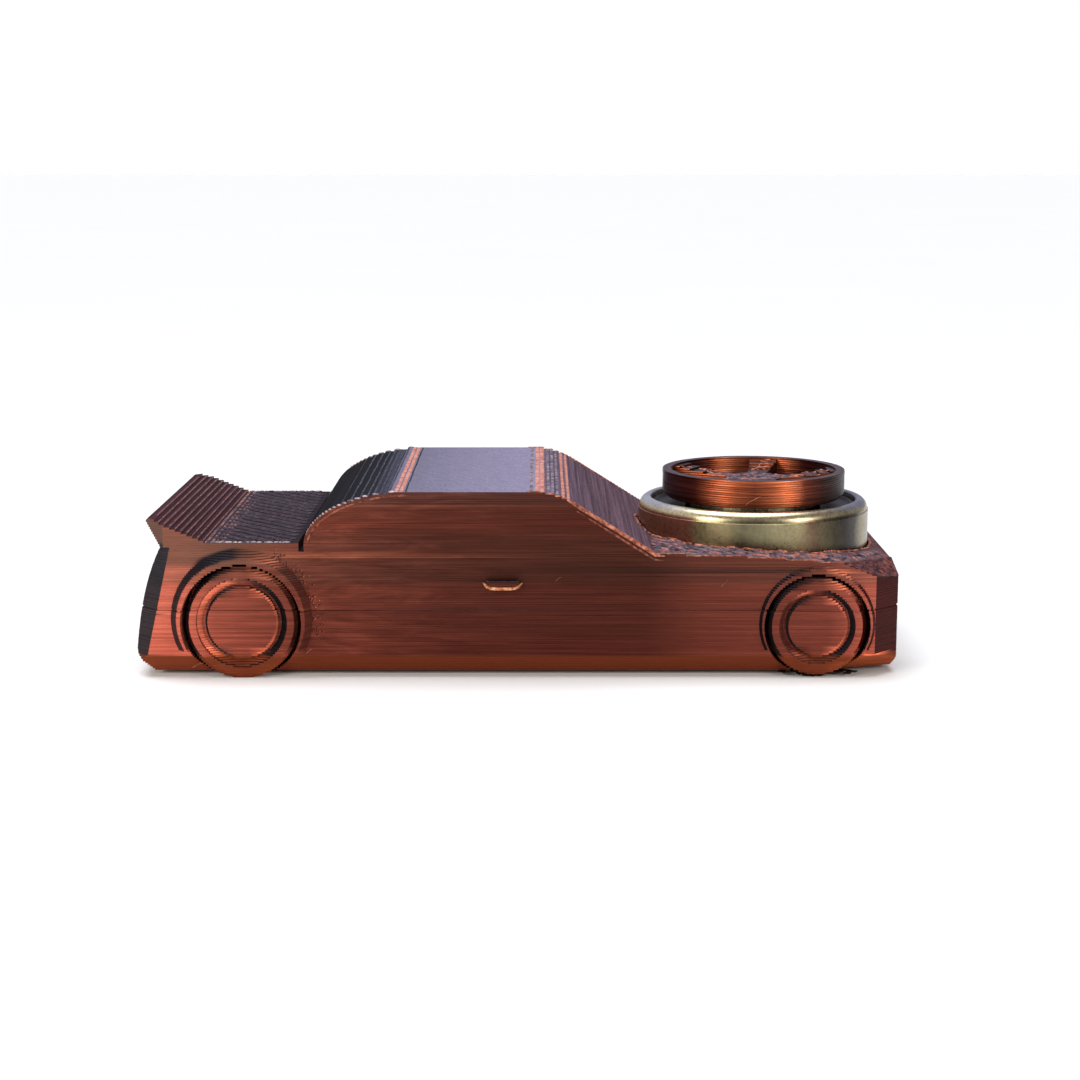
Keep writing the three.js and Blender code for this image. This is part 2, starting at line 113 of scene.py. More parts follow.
class Nodes:
    """A short way to write a material's node tree."""

    def __init__(self, name):
        self.material = bpy.data.materials.new(name)
        self.material.use_nodes = True
        self.tree = self.material.node_tree
        self.tree.nodes.clear()
        self.output = self.new("OutputMaterial")
        self.coordinates = self.new("TexCoord")
        place = self.new("SeparateXYZ")
        self.link(self.stretched(1, 1, 1), place.inputs[0])
        self.x, self.y, self.z = place.outputs

    def new(self, kind):
        return self.tree.nodes.new("ShaderNode" + kind)

    def link(self, value, socket):
        if isinstance(value, bpy.types.NodeSocket):
            self.tree.links.new(value, socket)
        else:
            socket.default_value = value

    def shader(self, **inputs):
        node = self.new("BsdfPrincipled")
        for name, value in inputs.items():
            self.link(value, node.inputs[name.replace("_", " ")])
        self.link(node.outputs["BSDF"], self.output.inputs["Surface"])

    def stretched(self, x, y, z, turn=0):
        """Object coordinates in millimetres, turned about Z and multiplied along each axis."""
        vector = self.coordinates.outputs["Object"]
        if turn:
            rotate = self.new("VectorRotate")
            rotate.rotation_type = "Z_AXIS"
            rotate.inputs["Angle"].default_value = math.radians(turn)
            self.link(vector, rotate.inputs["Vector"])
            vector = rotate.outputs["Vector"]
        node = self.new("Mapping")
        node.inputs["Scale"].default_value = (x / MM, y / MM, z / MM)
        self.link(vector, node.inputs["Vector"])
        return node.outputs["Vector"]

    def noise(self, x, y, z, turn=0, detail=3.0, roughness=0.5, distortion=0.0):
        """Noise that is finer along the axes with larger numbers."""
        node = self.new("TexNoise")
        node.inputs["Scale"].default_value = 1.0
        node.inputs["Detail"].default_value = detail
        node.inputs["Roughness"].default_value = roughness
        node.inputs["Distortion"].default_value = distortion
        self.link(self.stretched(x, y, z, turn), node.inputs["Vector"])
        return node.outputs["Fac"]

    def math(self, operation, a, b=0.0, c=0.0):
        node = self.new("Math")
        node.operation = operation
        for socket, value in zip(node.inputs, (a, b, c)):
            self.link(value, socket)
        return node.outputs[0]

    def facing(self, direction):
        """How far the surface's own normal points along a direction, from -1 to 1."""
        node = self.new("VectorMath")
        node.operation = "DOT_PRODUCT"
        self.link(self.coordinates.outputs["Normal"], node.inputs[0])
        node.inputs[1].default_value = Vector(direction).normalized()
        return node.outputs["Value"]

    def ramp(self, value, *stops, low=0.0, high=1.0):
        """A colour or a grey for each value between low and high."""
        node = self.new("ValToRGB")
        elements = node.color_ramp.elements
        while len(elements) < len(stops):
            elements.new(1.0)
        for element, (position, colour) in zip(elements, stops):
            element.position = (position - low) / (high - low)
            element.color = (*colour, 1) if isinstance(colour, tuple) else (colour,) * 3 + (1,)
        if (low, high) != (0.0, 1.0):
            value = self.math("MULTIPLY_ADD", value, 1 / (high - low), -low / (high - low))
        self.link(value, node.inputs["Fac"])
        return node.outputs["Color"]

    def by_x(self, *stops):
        """A ramp along the car, with its stops in millimetres."""
        return self.ramp(self.x, *stops, low=-35, high=35)

    def by_z(self, *stops):
        """A ramp up the car, with its stops in millimetres."""
        return self.ramp(self.z, *stops, low=0, high=17.2)

    def by_facing(self, direction, *stops):
        """A ramp over how far the surface points along a direction."""
        return self.ramp(self.facing(direction), *stops, low=-1, high=1)

    def tinted(self, colour, tint):
        """One colour multiplied by another."""
        return self.mix(1.0, colour, tint, "MULTIPLY")

    def mix(self, factor, a, b, blend="MIX"):
        node = self.new("Mix")
        node.data_type = "RGBA"
        node.blend_type = blend
        self.link(factor, node.inputs[0])
        self.link(a if isinstance(a, bpy.types.NodeSocket) else (*a, 1), node.inputs[6])
        self.link(b if isinstance(b, bpy.types.NodeSocket) else (*b, 1), node.inputs[7])
        return node.outputs[2]

    def bump(self, height, distance, strength=1.0):
        node = self.new("Bump")
        node.inputs["Strength"].default_value = strength
        node.inputs["Distance"].default_value = distance
        self.link(height, node.inputs["Height"])
        return node.outputs["Normal"]


BLACK_SILK = (0.006, 0.005, 0.006)
DARK_COPPER = (0.035, 0.014, 0.011)
COPPER = (0.115, 0.032, 0.021)
SHEEN_ORANGE = (0.36, 0.10, 0.055)
RED_BROWN = (0.013, 0.0008, 0.0003)
FLANK_COPPER = (0.08, 0.023, 0.015)
FAR_SIDE = (0.034, 0.014, 0.014)
WING_BROWN = (0.14, 0.065, 0.045)
SILL_COPPER = (0.155, 0.032, 0.012)
ARCH_SHADE_SLATE = (0.012, 0.014, 0.018)
BONNET_SPECKLE = (0.20, 0.09, 0.075)


def side_colour(nodes):
    """Silk filament changes colour with the way a face points: black towards the back of the car and copper
    towards its right.
    A little further round the colour is orange, in part the silk's own colour and in part painted sheen
    where the lamps glance off it.
    A face that points straight forward is dark red-brown at the nose and copper elsewhere."""
    # The orange stop is in part painted sheen, where the lamps glance off the side.
    colour = nodes.by_facing(
        FORWARD, (-1, BLACK_SILK), (-0.42, BLACK_SILK), (-0.22, DARK_COPPER), (-0.04, COPPER),
        (0.06, COPPER), (0.3, SHEEN_ORANGE), (0.5, SHEEN_ORANGE),
    )
    nose = nodes.ramp(nodes.x, (29, 0.0), (30.5, 1.0), low=0, high=35)
    front = nodes.mix(nose, FLANK_COPPER, RED_BROWN)
    colour = nodes.mix(nodes.by_facing(FORWARD, (0.5, 0.0), (0.66, 1.0)), colour, front)
    near = nodes.by_facing(RIGHT, (-0.7, 0.0), (-0.15, 1.0))
    return nodes.mix(near, FAR_SIDE, colour)


def arch_shade_patch(nodes, patches):
    """A mask for the patch of painted shade on the rear upper part of the rear arches."""
    across = nodes.math("SUBTRACT", nodes.x, REAR_AXLE_X / MM)
    upward = nodes.math("SUBTRACT", nodes.z, REAR_AXLE_Z / MM)
    squares = nodes.math("MULTIPLY_ADD", across, across, nodes.math("MULTIPLY", upward, upward))
    radius = nodes.math("MULTIPLY_ADD", patches, 0.5, nodes.math("SQRT", squares))
    ring = nodes.ramp(radius, (6.1, 0.0), (6.3, 0.95), (6.95, 0.95), (7.2, 0.0), low=0, high=8)
    along = nodes.by_x((-29.4, 0.0), (-28.4, 1.0), (-25.6, 1.0), (-24.6, 0.0))
    above = nodes.by_z((8.6, 0.0), (9.4, 1.0))
    return nodes.math("MULTIPLY", ring, nodes.math("MULTIPLY", along, above))


def body_silk_material():
    """The printed body and wheels: bands up the side, ends brightened by painted highlight, a dark patch of
    painted shade above the rear arches, and a colour for each part of the top, from the spoiler forward to
    the bonnet, in part painted reflection."""
    nodes = Nodes("body_silk")
    streaks = nodes.noise(0.07, 0.07, 5.0, detail=5, roughness=0.65)
    wisps = nodes.noise(0.16, 0.16, 1.1, detail=4, roughness=0.6, distortion=1.2)
    grain = nodes.noise(4, 4, 8, detail=3, roughness=0.6)
    patches = nodes.noise(0.5, 0.5, 0.9, detail=4, roughness=0.6)

    side = side_colour(nodes)
    bands = nodes.by_z(
        (0.4, (1.1, 0.95, 0.62)), (2.0, (1.1, 0.95, 0.62)), (2.15, (1.0, 0.82, 0.8)),
        (4.4, (0.9, 0.78, 0.78)), (6.0, (0.95, 0.85, 0.85)), (8.6, (0.92, 0.84, 0.84)),
        (8.8, (0.72, 0.8, 0.82)), (12.5, (0.82, 0.9, 0.92)), (14.2, (1.0, 0.9, 0.88)),
        (15.6, (0.95, 0.95, 0.95)), (15.75, (1.5, 1.7, 1.7)), (15.9, (0.8, 1.0, 1.1)),
        (17, (0.95, 1.2, 1.4)),
    )
    side = nodes.tinted(side, bands)
    forward_part = nodes.ramp(nodes.x, (11.5, (0.8, 0.76, 0.74)), (16.5, (1.2, 1.15, 1.15)), low=0, high=40)
    side = nodes.tinted(side, forward_part)
    side = nodes.tinted(side, nodes.ramp(streaks, (0.28, 0.6), (0.5, 1.0), (0.72, 1.5)))
    wispy = nodes.by_x((-22, 0.25), (-18, 0.65), (-6, 0.4), (2, 0.1))
    side = nodes.mix(wispy, side, nodes.ramp(wisps, (0.3, 0.5), (0.5, 1.0), (0.66, 1.6)), "MULTIPLY")
    # Painted highlight: the side is brightened towards both ends of the car, most at the rear.
    ends = nodes.by_x(
        (-34, 6.0), (-29.8, 5.6), (-27.5, 3.2), (-24, 2.5), (-19, 1.6), (-6, 0.95),
        (6, 0.8), (12, 0.8), (20, 1.1), (28, 1.3), (31.5, 2.7), (34, 2.7),
    )
    side = nodes.tinted(side, ends)
    rear_part = nodes.by_x((-25, 1.0), (-19.5, 0.0))
    wing = nodes.math("MULTIPLY", nodes.by_z((9.9, 0.0), (10.6, 0.85)), rear_part)
    beside = nodes.by_facing(FORWARD, (-0.35, 0.0), (-0.15, 1.0))
    tip = nodes.by_z((12.2, 0.0), (12.5, 1.0))
    wing = nodes.math("MULTIPLY", wing, nodes.math("MAXIMUM", beside, tip))
    side = nodes.mix(wing, side, WING_BROWN)
    sill = nodes.by_z((1.9, 0.9), (2.1, 0.0))
    side = nodes.mix(sill, side, SILL_COPPER)
    # Painted shade: a dark slate patch on the upper rear of the rear arches.
    side = nodes.mix(arch_shade_patch(nodes, patches), side, ARCH_SHADE_SLATE)

    # The tops off the roof are painted darker, in part as painted reflection of a darker part of the room.
    top = nodes.by_x(
        (-34, (0.045, 0.014, 0.022)), (-28, (0.036, 0.013, 0.022)), (-27, (0.026, 0.014, 0.023)),
        (-20, (0.022, 0.014, 0.021)), (-19.3, (0.004, 0.004, 0.006)), (-13.5, (0.008, 0.008, 0.012)),
        (-11.5, (0.06, 0.06, 0.10)), (1, (0.16, 0.12, 0.18)), (6, (0.105, 0.062, 0.088)),
        (12, (0.105, 0.058, 0.078)), (13, (0.13, 0.07, 0.08)), (28, (0.12, 0.06, 0.07)),
    )
    roof = nodes.by_z((16.85, 0.0), (16.95, 1.0))
    raster = nodes.noise(0.5, 6, 1, turn=45, detail=2)
    # The roof's lavender is in part the silk's own colour and in part painted reflection of the sky.
    roof_colour = nodes.ramp(raster, (0.35, (0.19, 0.175, 0.27)), (0.65, (0.29, 0.265, 0.40)))
    shaded = nodes.by_x((-9.6, 0.68), (-4, 0.9), (1.5, 1.02))
    roof_colour = nodes.tinted(roof_colour, shaded)
    top = nodes.mix(roof, top, roof_colour)
    cross_lines = nodes.noise(4.5, 0.03, 0.1, detail=3, roughness=0.7)
    lined = nodes.tinted(top, nodes.ramp(cross_lines, (0.36, 0.6), (0.5, 1.0), (0.64, 1.5)))
    top = nodes.mix(nodes.by_z((16.85, 1.0), (16.95, 0.0)), top, lined)
    bonnet = nodes.ramp(nodes.x, (12.4, 0.0), (13.2, 1.0), low=0, high=40)
    speckle = nodes.ramp(patches, (0.5, 0.0), (0.62, 0.7))
    top = nodes.mix(nodes.math("MULTIPLY", bonnet, speckle), top, BONNET_SPECKLE)
    top = nodes.tinted(top, nodes.ramp(grain, (0.3, 0.6), (0.7, 1.4)))
    upward = nodes.by_facing(UP, (0.3, 0.0), (0.75, 1.0))
    roughness = nodes.math("MULTIPLY_ADD", grain, 0.2, 0.34)
    rough_top = nodes.math("MULTIPLY", upward, nodes.math("SUBTRACT", 1.0, roof))
    roughness = nodes.math("MULTIPLY_ADD", rough_top, 0.3, roughness)
    shiny = nodes.by_facing(FORWARD, (0.5, 0.5), (0.66, 0.3))
    matt_top = nodes.by_facing(UP, (0.3, 1.0), (0.75, 0.1))
    nodes.shader(
        Base_Color=nodes.mix(upward, side, top),
        Metallic=nodes.math("MULTIPLY", shiny, matt_top),
        Roughness=roughness,
        Specular_IOR_Level=0.08,
        Normal=nodes.bump(nodes.math("ADD", nodes.math("MULTIPLY", streaks, 1.2), grain), 0.014 * MM, 0.7),
    )
    return nodes.material


def cap_silk_material():
    """The finger caps: copper, brighter on faces towards the right, with two bright bands of painted
    highlight round the side, and dark towards both ends.
    """
    nodes = Nodes("cap_silk")
    streaks = nodes.noise(0.12, 0.12, 6.0, detail=4, roughness=0.6)
    grain = nodes.noise(4, 4, 8, detail=3, roughness=0.6)
    # Painted highlight: two bright copper bands round the side, where the lamps glance off it.
    side = nodes.by_facing(
        FORWARD, (-1, (0.022, 0.006, 0.006)), (-0.68, (0.045, 0.008, 0.006)),
        (-0.36, (0.44, 0.105, 0.04)), (-0.08, (0.21, 0.052, 0.024)), (0.24, (0.50, 0.13, 0.05)),
        (0.46, (0.10, 0.022, 0.012)), (0.66, (0.03, 0.010, 0.008)), (1, (0.012, 0.006, 0.006)),
    )
    inward = nodes.by_facing(RIGHT, (-0.2, 0.6), (0.3, 1.0))
    side = nodes.tinted(side, inward)
    side = nodes.tinted(side, nodes.ramp(streaks, (0.34, 0.42), (0.5, 1.0), (0.66, 2.2)))
    rough_top = nodes.ramp(
        grain, (0.35, (0.02, 0.014, 0.018)), (0.5, (0.06, 0.045, 0.06)), (0.66, (0.22, 0.10, 0.08)),
    )
    upward = nodes.by_facing(UP, (0.3, 0.0), (0.75, 1.0))
    nodes.shader(
        Base_Color=nodes.mix(upward, side, rough_top),
        Metallic=0.55,
        Specular_IOR_Level=0.08,
        Roughness=nodes.math("MULTIPLY_ADD", grain, 0.2, 0.24),
        Normal=nodes.bump(nodes.math("ADD", streaks, grain), 0.016 * MM, 0.7),
    )
    return nodes.material


def strand_material(name, dark, middle, light, metallic=0.4, scale=2.2):
    """Filament lines whose colour changes every few tenths of a millimetre."""
    nodes = Nodes(name)
    grain = nodes.noise(scale, scale, scale, detail=4, roughness=0.6)
    fine = nodes.noise(9, 9, 9, detail=2)
    nodes.shader(
        Base_Color=nodes.ramp(grain, (0.36, dark), (0.5, middle), (0.64, light)),
        Metallic=metallic,
        Specular_IOR_Level=0.16,
        Roughness=nodes.math("MULTIPLY_ADD", fine, 0.3, 0.3),
        Normal=nodes.bump(fine, 0.02 * MM, 0.6),
    )
    return nodes.material


def steel(name, colour, roughness, stain, with_painted_reflections=False):
    """Ground steel with fine turning marks and faint stains. With painted reflections the ring also gets
    painted reflections in zones of brown, olive and slate along it, a painted highlight on the shoulder and
    a painted blue reflection on the rim at both ends."""
    nodes = Nodes(name)
    marks = nodes.noise(0.3, 0.3, 30.0, detail=2)
    stains = nodes.noise(0.35, 0.35, 0.35, detail=5, roughness=0.6)
    specks = nodes.noise(3, 3, 3, detail=3, roughness=0.7)
    tint = nodes.mix(nodes.ramp(stains, (0.4, 0.0), (0.62, 1.0)), colour, stain)
    tint = nodes.tinted(tint, nodes.ramp(specks, (0.3, 0.8), (0.7, 1.15)))
    metallic = 1.0
    if with_painted_reflections:
        # Painted reflection: zones of brown, olive and slate along the ring.
        wavy = nodes.math("MULTIPLY_ADD", stains, 1.6, nodes.math("SUBTRACT", nodes.x, 0.8))
        painted_reflection_tint = nodes.ramp(
            wavy, (11.5, (1.1, 0.48, 0.46)), (15.6, (0.85, 0.35, 0.33)), (16.6, (1.1, 1.05, 0.8)),
            (19.3, (1.1, 1.05, 0.8)), (20.6, (0.62, 0.62, 0.55)), (23.4, (1.0, 1.0, 0.85)),
            (25.6, (0.95, 0.9, 0.75)), (27, (0.52, 0.38, 0.37)), (28.4, (0.36, 0.34, 0.29)),
            (30.2, (0.14, 0.14, 0.18)), (31.4, (0.22, 0.22, 0.30)), (32.2, (1.0, 0.97, 0.9)),
            low=11, high=34,
        )
        # Painted highlight on the rounded shoulder.
        shoulder = nodes.ramp(nodes.z, (13.55, 0.0), (13.8, 1.0), (14.3, 1.0), low=0, high=15)
        painted_reflection_tint = nodes.mix(shoulder, painted_reflection_tint, (2.5, 2.4, 2.3))
        # Painted blue reflection of the sky on the rim at both ends.
        rim = nodes.math(
            "MULTIPLY", nodes.ramp(nodes.z, (13.9, 0.0), (14.15, 1.0), low=0, high=15),
            nodes.ramp(nodes.x, (13, 1.0), (16.5, 0.0), (28, 0.0), (31, 1.0), low=11, high=34),
        )
        painted_reflection_tint = nodes.mix(rim, painted_reflection_tint, (1.6, 1.85, 3.2))
        tint = nodes.tinted(tint, painted_reflection_tint)
        metallic = nodes.ramp(nodes.x, (15.2, 0.45), (17, 1.0), low=11, high=34)
    nodes.shader(
        Base_Color=tint,
        Metallic=metallic,
        Roughness=nodes.math("MULTIPLY_ADD", specks, 0.16, roughness - 0.06),
        Normal=nodes.bump(marks, 0.003 * MM, 0.5),
    )
    return nodes.material


body_silk = body_silk_material()
cap_silk = cap_silk_material()
# Dark, middle and light colour of each kind of filament line, then its metallic value and scale.
deck_strand = strand_material(
    "deck_strand", (0.010, 0.005, 0.009), (0.024, 0.013, 0.021), (0.07, 0.04, 0.06), 0.1)
bonnet_strand = strand_material(
    "bonnet_strand", (0.022, 0.013, 0.02), (0.15, 0.11, 0.15), (0.48, 0.17, 0.11), 0.3, 1.1)
orange_strand = strand_material(
    "orange_strand", (0.14, 0.04, 0.022), (0.36, 0.11, 0.065), (0.60, 0.26, 0.18))
rust_strand = strand_material(
    "rust_strand", (0.06, 0.02, 0.014), (0.16, 0.05, 0.03), (0.34, 0.12, 0.075))
pale_strand = strand_material(
    "pale_strand", (0.02, 0.016, 0.022), (0.34, 0.28, 0.33), (0.66, 0.50, 0.46))
pink_strand = strand_material(
    "pink_strand", (0.06, 0.022, 0.028), (0.20, 0.09, 0.095), (0.42, 0.20, 0.18), 0.2)
bright_strand = strand_material(
    "bright_strand", (0.36, 0.11, 0.08), (0.66, 0.25, 0.18), (0.8, 0.40, 0.30), 0.2)
amber_strand = strand_material(
    "amber_strand", (0.24, 0.065, 0.025), (0.46, 0.15, 0.065), (0.75, 0.42, 0.25), 0.3)
slate_strand = strand_material(
    "slate_strand", (0.006, 0.006, 0.009), (0.03, 0.03, 0.045), (0.11, 0.11, 0.16), 0.1)
lilac_strand = strand_material(
    "lilac_strand", (0.05, 0.045, 0.065), (0.17, 0.14, 0.2), (0.42, 0.3, 0.34), 0.1, 1.2)
nose_silk = strand_material(
    "nose_silk", (0.014, 0.005, 0.008), (0.062, 0.014, 0.017), (0.26, 0.075, 0.05), 0.2)
residue = strand_material(
    "residue", (0.003, 0.003, 0.003), (0.006, 0.005, 0.005), (0.03, 0.012, 0.01), 0.1)
# The outer ring carries painted reflections.
ring_steel = steel("ring_steel", (0.28, 0.255, 0.17), 0.27, (0.22, 0.19, 0.13), with_painted_reflections=True)
shield_steel = steel("shield_steel", (0.045, 0.045, 0.052), 0.34, (0.02, 0.02, 0.024))
ball_steel = steel("ball_steel", (0.7, 0.7, 0.7), 0.15, (0.6, 0.6, 0.6))


# ---------------------------------------------------------------- mesh helpers

def mesh_object(name, mesh, material, smooth_below=SMOOTH_BELOW):
    data = bpy.data.meshes.new(name)
    mesh.to_mesh(data)
    mesh.free()
    piece = bpy.data.objects.new(name, data)
    bpy.context.scene.collection.objects.link(piece)
    data.materials.append(material)
    data.shade_smooth()
    data.set_sharp_from_angle(angle=math.radians(smooth_below))
    return piece


def on_body(piece, body):
    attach(piece, body)


def cad_mesh(node):
    """A CAD node's own faces, with its doubled corners joined."""
    mesh = bmesh.new()
    mesh.from_mesh(frame["nodes"][node].data)
    bmesh.ops.remove_doubles(mesh, verts=mesh.verts[:], dist=DOUBLED)
    return mesh


def skin_of(piece):
    """A piece's surface, to be met by straight lines from above."""
    data = piece.data
    return BVHTree.FromPolygons([v.co for v in data.vertices], [p.vertices for p in data.polygons])


def height_of(skin, x, y):
    """The height of the highest surface at a place, or None beside it."""
    hit = skin.ray_cast(Vector((x, y, 30 * MM)), DOWN)[0]
    return hit.z if hit else None


def add_tube(mesh, rows):
    """Joins rows of corners into a closed tube."""
    sides = len(rows[0])
    for row, following in zip(rows, rows[1:]):
        for i in range(sides):
            j = (i + 1) % sides
            mesh.faces.new((row[i], row[j], following[j], following[i]))
    mesh.faces.new(rows[0][::-1])
    mesh.faces.new(rows[-1])


def add_strand(mesh, start, end, width, height, up=UP):
    """A squashed line of filament from start to end, rounded on top and at its ends."""
    along = (end - start).normalized()
    across = up.cross(along).normalized()
    length = (end - start).length
    taper = min(width / 2, length / 3)
    stations = [(0, 0.35), (taper, 1.0), (length - taper, 1.0), (length, 0.35)]
    rows = []
    for distance, size in stations:
        centre = start + along * distance
        row = []
        for step in range(5):
            angle = math.pi * step / 4
            offset = across * math.cos(angle) * width / 2 * size
            lift = up * (math.sin(angle) * height * size - STRAND_SUNK)
            row.append(mesh.verts.new(centre + offset + lift))
        rows.append(row)
    add_tube(mesh, rows)


def strands(name, lines, material, body="car"):
    """One piece made of many lines of filament."""
    mesh = bmesh.new()
    for line in lines:
        add_strand(mesh, *line)
    bmesh.ops.recalc_face_normals(mesh, faces=mesh.faces[:])
    on_body(mesh_object(name, mesh, material), body)


def thread(name, points, radius, material, body="car"):
    """A thin round thread through points."""
    mesh = bmesh.new()
    rows = []
    for i, point in enumerate(points):
        ahead = points[min(i + 1, len(points) - 1)]
        behind = points[max(i - 1, 0)]
        turn = (ahead - behind).to_track_quat("Z", "X")
        thin = 0.4 if i in (0, len(points) - 1) else 1.0
        row = []
        for step in range(8):
            angle = 2 * math.pi * step / 8
            offset = Vector((math.cos(angle), math.sin(angle), 0)) * radius * thin
            row.append(mesh.verts.new(point + turn @ offset))
        rows.append(row)
    add_tube(mesh, rows)
    bmesh.ops.recalc_face_normals(mesh, faces=mesh.faces[:])
    on_body(mesh_object(name, mesh, material, 80), body)


def turned(name, profile, material, segments=160):
    """A closed profile of (radius, height) points turned about the bearing's axis."""
    mesh = bmesh.new()
    rows = []
    for step in range(segments):
        angle = 2 * math.pi * step / segments
        rows.append([
            mesh.verts.new((SPIN_X + radius * math.cos(angle), radius * math.sin(angle), height))
            for radius, height in profile
        ])
    for row, following in zip(rows, rows[1:] + rows[:1]):
        for i in range(len(profile)):
            j = (i + 1) % len(profile)
            mesh.faces.new((row[i], row[j], following[j], following[i]))
    bmesh.ops.recalc_face_normals(mesh, faces=mesh.faces[:])
    return mesh_object(name, mesh, material, 32)


# ---------------------------------------------------------------- printed layers

def outlines_at(mesh, height):
    """The closed outlines that a level plane cuts from a closed mesh of triangles."""
    neighbours = {}
    for face in mesh.faces:
        crossed = [
            edge for edge in face.edges
            if (edge.verts[0].co.z > height) != (edge.verts[1].co.z > height)
        ]
        if len(crossed) == 2:
            neighbours.setdefault(crossed[0], []).append(crossed[1])
            neighbours.setdefault(crossed[1], []).append(crossed[0])
    outlines = []
    while neighbours:
        edge = next(iter(neighbours))
        outline = []
        while edge in neighbours:
            low, high = edge.verts
            share = (height - low.co.z) / (high.co.z - low.co.z)
            outline.append(low.co.lerp(high.co, share).xy)
            onward = [other for other in neighbours.pop(edge) if other in neighbours]
            if not onward:
                break
            edge = onward[0]
        outline = simplified(outline)
        if len(outline) > 2:
            outlines.append(outline)
    return outlines


def simplified(outline):
    """The outline without doubled points and points in the middle of a straight run."""
    closest = 0.008 * MM
    straight = 0.002 * MM
    spaced = []
    for point in outline:
        if not spaced or (point - spaced[-1]).length > closest:
            spaced.append(point)
    while len(spaced) > 3 and (spaced[0] - spaced[-1]).length < closest:
        spaced.pop()
    kept = []
    for i, point in enumerate(spaced):
        before = kept[-1] if kept else spaced[-1]
        after = spaced[(i + 1) % len(spaced)]
        off_line = abs((point - before).cross(after - before)) / max((after - before).length, 1e-9)
        if off_line > straight:
            kept.append(point)
    return kept


def area(loop):
    return sum(a.cross(b) for a, b in zip(loop, loop[1:] + loop[:1])) / 2


def holds(loop, point):
    inside = False
    for a, b in zip(loop, loop[1:] + loop[:1]):
        if (a.y > point.y) != (b.y > point.y):
            if point.x < a.x + (point.y - a.y) * (b.x - a.x) / (b.y - a.y):
                inside = not inside
    return inside


def with_material_on_left(loops):
    """Outer outlines run anticlockwise and holes clockwise."""
    turned_loops = []
    for loop in loops:
        depth = sum(holds(other, loop[0]) for other in loops if other is not loop)
        if (area(loop) > 0) == (depth % 2 == 1):
            loop = loop[::-1]
        turned_loops.append(loop)
    return turned_loops


def inset(loop, distance):
    """The outline moved into the material by a distance."""
    moved = []
    for before, here, after in zip(loop[-1:] + loop[:-1], loop, loop[1:] + loop[:1]):
        arriving = (here - before).normalized()
        leaving = (after - here).normalized()
        bisector = Vector((-arriving.y - leaving.y, arriving.x + leaving.x))
        if bisector.length < 0.3:
            moved.append(here.copy())
            continue
        miter = min(2 / bisector.length, 1.6)
        moved.append(here + bisector.normalized() * distance * miter)
    return moved


def add_layer(mesh, loops, bottom, top, bead):
    """One layer: a slab whose edge is rounded like a squashed bead of filament."""
    rise = top - bottom
    rings = [(bottom, bead), (bottom + 0.3 * rise, 0.0), (top - 0.3 * rise, 0.0), (top, bead)]
    rims = {bottom: [], top: []}
    for loop in loops:
        rows = [
            [mesh.verts.new((*point, height)) for point in inset(loop, distance)]
            for height, distance in rings
        ]
        count = len(loop)
        for lower, upper in zip(rows, rows[1:]):
            for i in range(count):
                j = (i + 1) % count
                mesh.faces.new((lower[i], lower[j], upper[j], upper[i]))
        for height, row in ((bottom, rows[0]), (top, rows[-1])):
            rims[height] += [mesh.edges.get((row[i], row[(i + 1) % count])) for i in range(count)]
    for height, normal in ((bottom, DOWN), (top, UP)):
        bmesh.ops.triangle_fill(
            mesh, use_beauty=True, use_dissolve=False, edges=rims[height], normal=normal,
        )


def printed(name, source, material, bead=0.018 * MM, wobble=0.005 * MM, sunk_at=()):
    """Rebuilds a solid as the layers that the printer laid down, joined into one skin."""
    low = min(v.co.z for v in source.verts)
    high = max(v.co.z for v in source.verts)
    stacks = [bmesh.new(), bmesh.new()]
    overlap = 0.012 * MM
    sunk = 0.09 * MM
    count = max(1, round((high - low) / LAYER))
    for number in range(count):
        bottom = low + number * LAYER
        top = bottom + LAYER
        loops = with_material_on_left(outlines_at(source, bottom + 0.507 * LAYER))
        if not loops:
            continue
        shift = random.uniform(-wobble, wobble)
        if any(abs(bottom - height) < LAYER / 2 for height in sunk_at):
            shift += sunk
        loops = [inset(loop, shift) for loop in loops]
        add_layer(stacks[number % 2], loops, bottom - (overlap if number else 0), top, bead)
    source.free()
    for stack in stacks:
        bmesh.ops.recalc_face_normals(stack, faces=stack.faces[:])
    odd = mesh_object(name + "_odd", stacks[1], material)
    whole = mesh_object(name, stacks[0], material)
    union = whole.modifiers.new("union", "BOOLEAN")
    union.operation = "UNION"
    union.solver = "MANIFOLD"
    union.object = odd
    graph = bpy.context.evaluated_depsgraph_get()
    data = bpy.data.meshes.new_from_object(whole.evaluated_get(graph))
    whole.modifiers.clear()
    whole.data = data
    bpy.data.objects.remove(odd)
    data.shade_smooth()
    data.set_sharp_from_angle(angle=math.radians(SMOOTH_BELOW))
    return whole


def print_node(node, material, slot, **options):
    """Puts the printed form of a CAD node in its place."""
    mesh = cad_mesh(node)
    bmesh.ops.triangulate(mesh, faces=mesh.faces[:])
    piece = printed(node + "_print", mesh, material, **options)
    body = next(
        name for name, members in frame["record"]["behaviour"]["bodies"].items() if node in members
    )
    on_body(piece, body)
    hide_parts(node)
    return piece


car = print_node("car_body", body_silk, "silk_plastic", sunk_at=[HULL_LINE_Z])
for wheel in ("front_wheel_right", "front_wheel_left", "rear_wheel_right", "rear_wheel_left"):
    print_node(wheel, body_silk, "silk_plastic", sunk_at=[HULL_LINE_Z])
for cap in ("spinner_cap_upper", "spinner_cap_lower"):
    print_node(cap, cap_silk, "cap_plastic", bead=0.03 * MM, wobble=0.01 * MM)

car_skin = skin_of(car)


def top_of_car(x, y):
    """The height of the car's upper surface."""
    return height_of(car_skin, x, y)


# ---------------------------------------------------------------- steel

